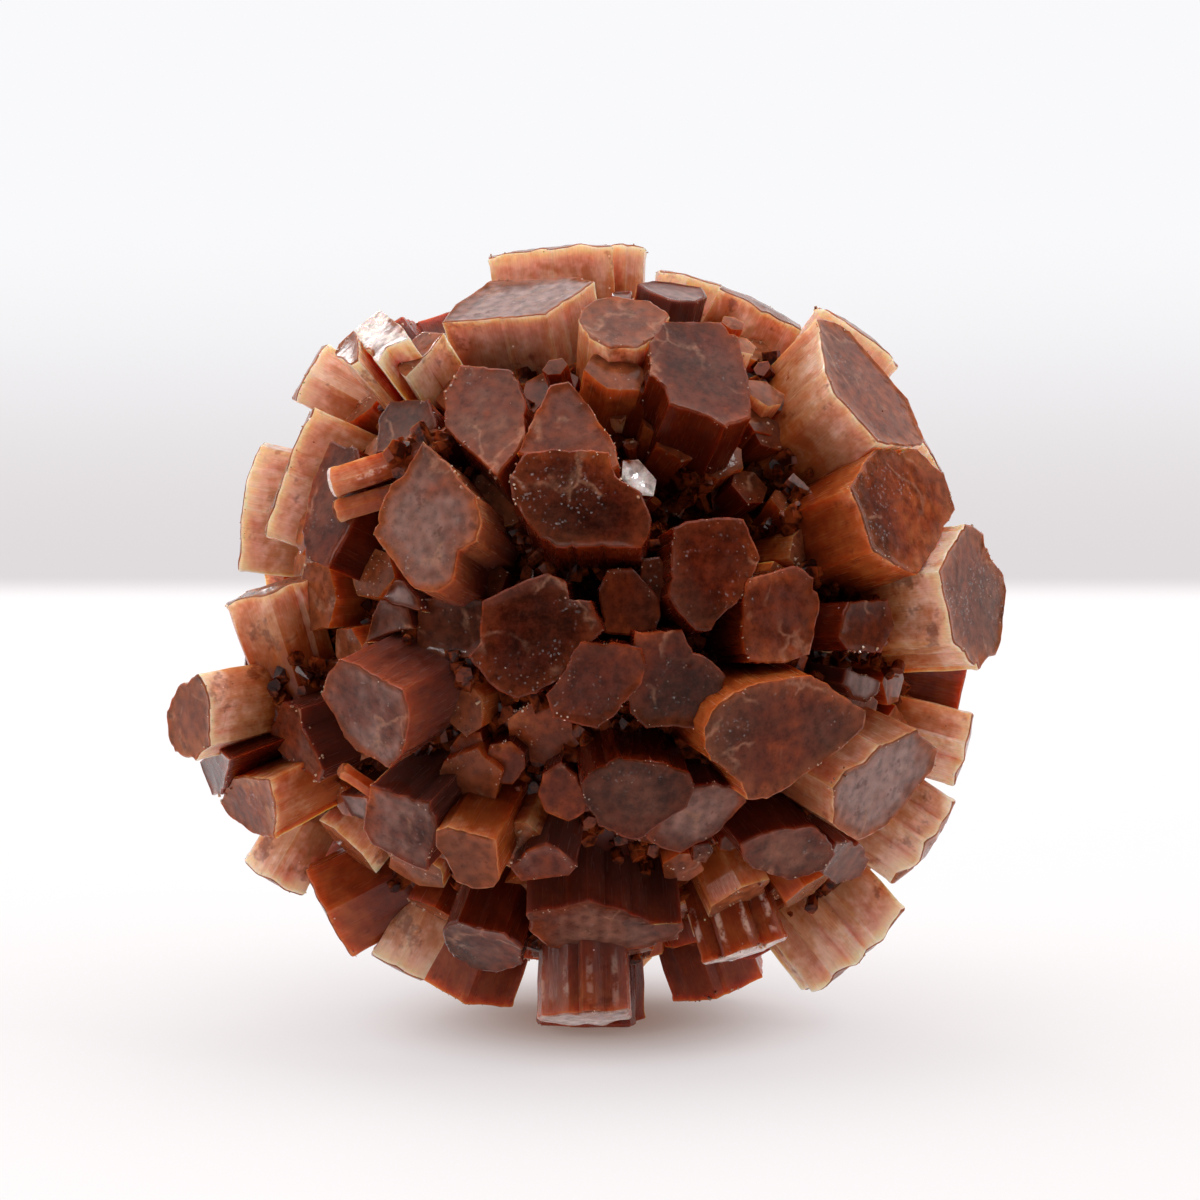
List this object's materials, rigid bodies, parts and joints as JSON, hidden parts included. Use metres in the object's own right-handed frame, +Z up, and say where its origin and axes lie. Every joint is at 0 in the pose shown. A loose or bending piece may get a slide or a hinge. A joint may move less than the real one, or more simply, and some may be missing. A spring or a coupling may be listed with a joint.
{
  "type": "aragonite crystal cluster",
  "caption": "Ball-shaped cluster of reddish-brown pseudo-hexagonal prisms with flat caps that radiate from one root mass; a display or collector's mineral.",
  "frame": {"origin": "middle of the level crystal cap that the cluster rests on, straight below the ball's middle", "axes": "+Z up, away from the surface it rests on; -Y towards the side seen in the picture; +X to the right in the picture"},
  "size_m": [0.0586, 0.0562, 0.0559],
  "materials": {
    "aragonite": "satin natural crystal faces, slightly translucent, zoned from cream tips to dark red-brown roots"
  },
  "bodies": {
    "root": {"aragonite_cluster": "aragonite"}
  },
  "joints": []
}
